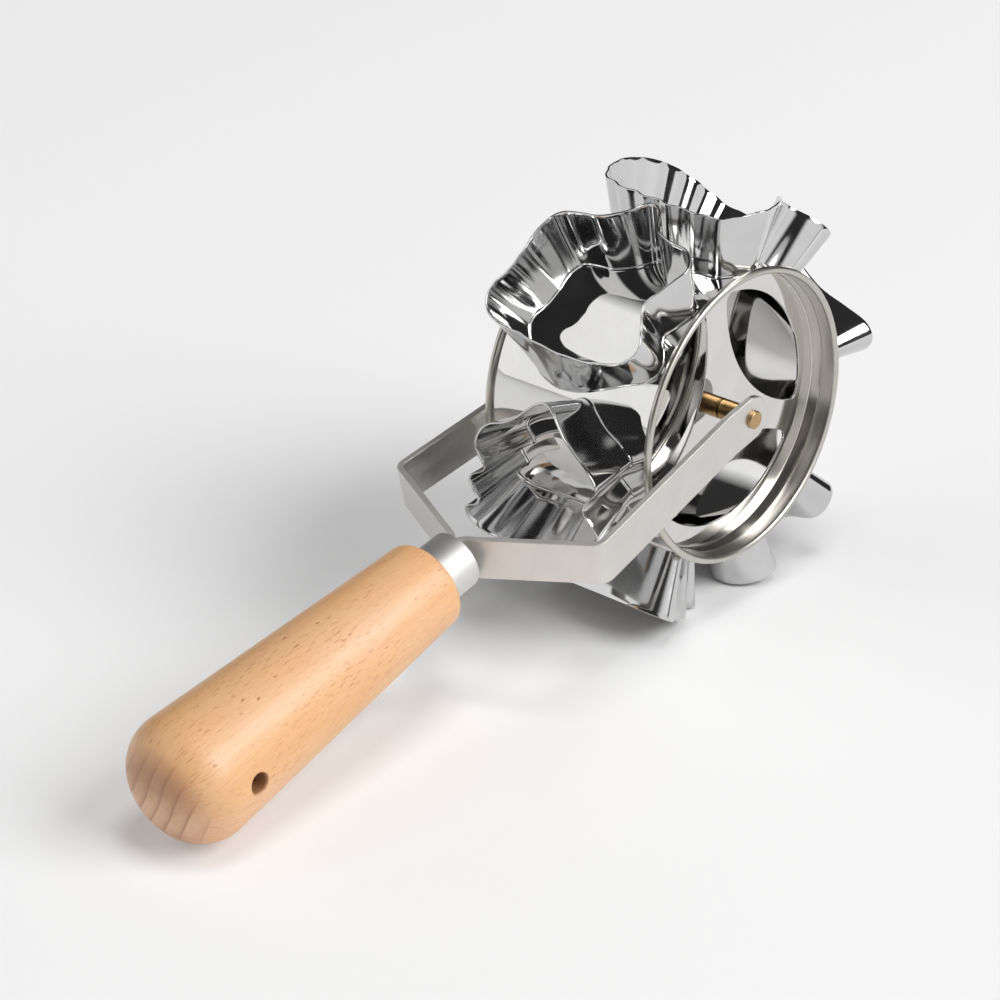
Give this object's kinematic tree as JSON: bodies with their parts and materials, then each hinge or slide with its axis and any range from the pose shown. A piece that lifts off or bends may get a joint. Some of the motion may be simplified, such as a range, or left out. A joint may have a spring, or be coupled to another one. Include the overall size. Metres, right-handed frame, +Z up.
{
  "type": "rolling cookie cutter",
  "caption": "Rolling cookie cutter: shaped cutters on a polished drum that spins in a bent steel fork with a turned wooden handle.",
  "frame": {"origin": "middle of the bounding box's underside, on the floor that the cutting edges and the handle's end rest on", "axes": "+X along the axle to the drum's right end, +Y from the handle to the drum, +Z up"},
  "size_m": [0.0718, 0.2514, 0.117],
  "materials": {
    "handle_wood": "satin, turned beech",
    "ferrule_aluminium": "satin",
    "fork_satin_steel": "satin",
    "pivot_brass": "turned",
    "washer_steel": "satin",
    "rim_satin_steel": "satin",
    "drum_polished_steel": "mirror polish",
    "web_polished_steel": "mirror polish",
    "cutter_polished_steel": "mirror polish"
  },
  "bodies": {
    "frame": {"handle": "handle_wood", "ferrule": "ferrule_aluminium", "fork_arm_right": "fork_satin_steel", "fork_arm_left": "fork_satin_steel", "pivot_pin_right": "pivot_brass", "pivot_pin_left": "pivot_brass", "spacer_right": "pivot_brass", "spacer_left": "pivot_brass", "pin_washer_right": "washer_steel", "pin_washer_left": "washer_steel"},
    "drum": {"drum_tube": "drum_polished_steel", "rim_ring_right": "rim_satin_steel", "rim_ring_left": "rim_satin_steel", "end_web_right": "web_polished_steel", "end_web_left": "web_polished_steel", "cutter_leaf": "cutter_polished_steel", "cutter_tree": "cutter_polished_steel", "cutter_bell": "cutter_polished_steel", "cutter_figure": "cutter_polished_steel", "cutter_heart": "cutter_polished_steel", "cutter_mitten": "cutter_polished_steel"}
  },
  "joints": [
    {"name": "drum_spin", "type": "hinge", "parent": "frame", "child": "drum", "pos_m": [0, 0.06725, 0.0585], "axis": [1, 0, 0], "continuous": true}
  ]
}
